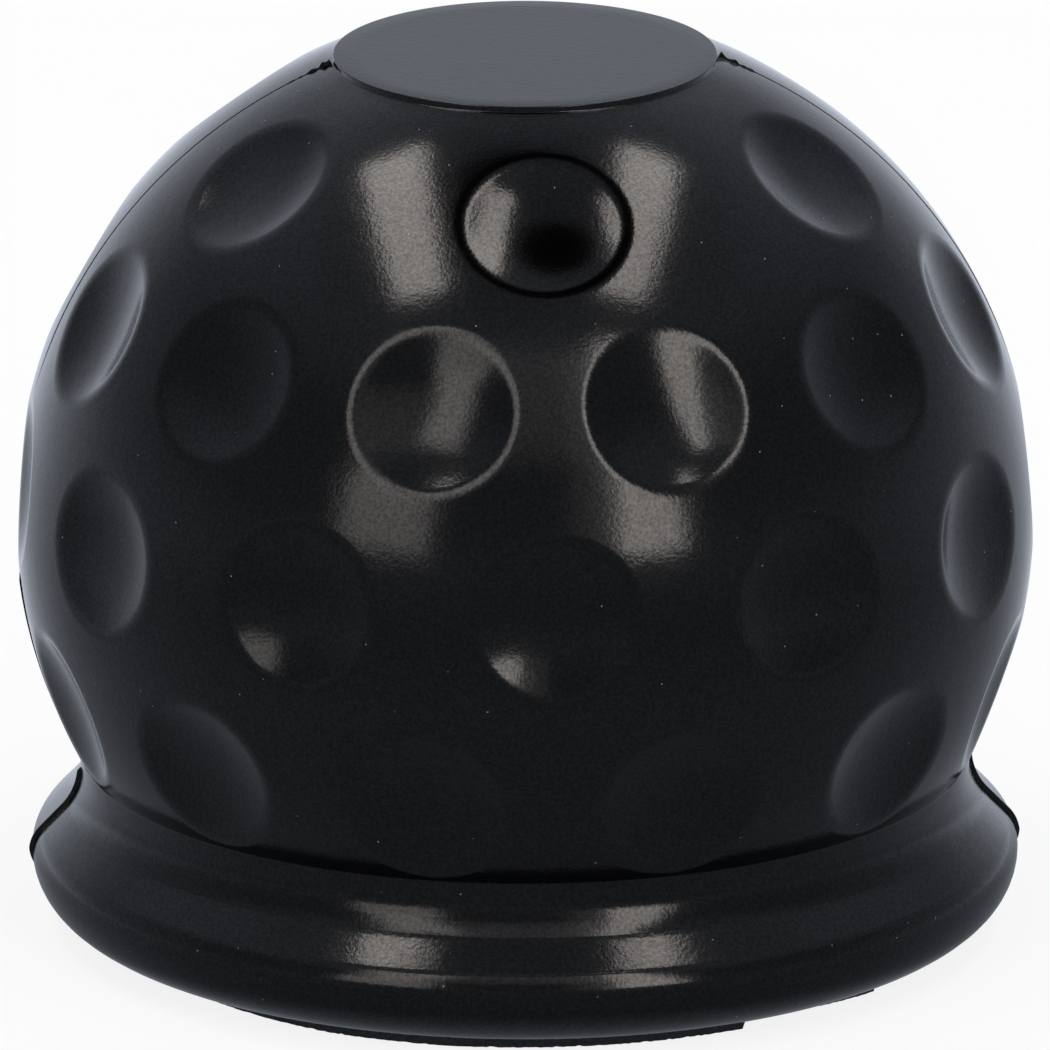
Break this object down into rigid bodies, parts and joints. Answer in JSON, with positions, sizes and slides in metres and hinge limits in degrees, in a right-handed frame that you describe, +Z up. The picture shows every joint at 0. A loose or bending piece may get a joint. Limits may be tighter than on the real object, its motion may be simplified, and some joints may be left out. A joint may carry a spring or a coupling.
{
  "type": "tow ball cover",
  "caption": "Soft black cap that pushes over a towing ball: a dimpled ball with a flat disc on top, narrowing to a short neck above a rounded bead with an open mouth.",
  "frame": {"origin": "On the axis of the ball, at the foot of the trimmed edge that the cover stands on.", "axes": "+Z runs up the axis of the ball to the flat disc, -Y is the front of the dimple pattern, and the mould seam lies in the XZ plane."},
  "size_m": [0.065, 0.0648, 0.0572],
  "materials": {
    "soft_pvc": "moulded gloss with fine orange peel"
  },
  "bodies": {
    "root": {"cover": "soft_pvc"}
  },
  "joints": []
}
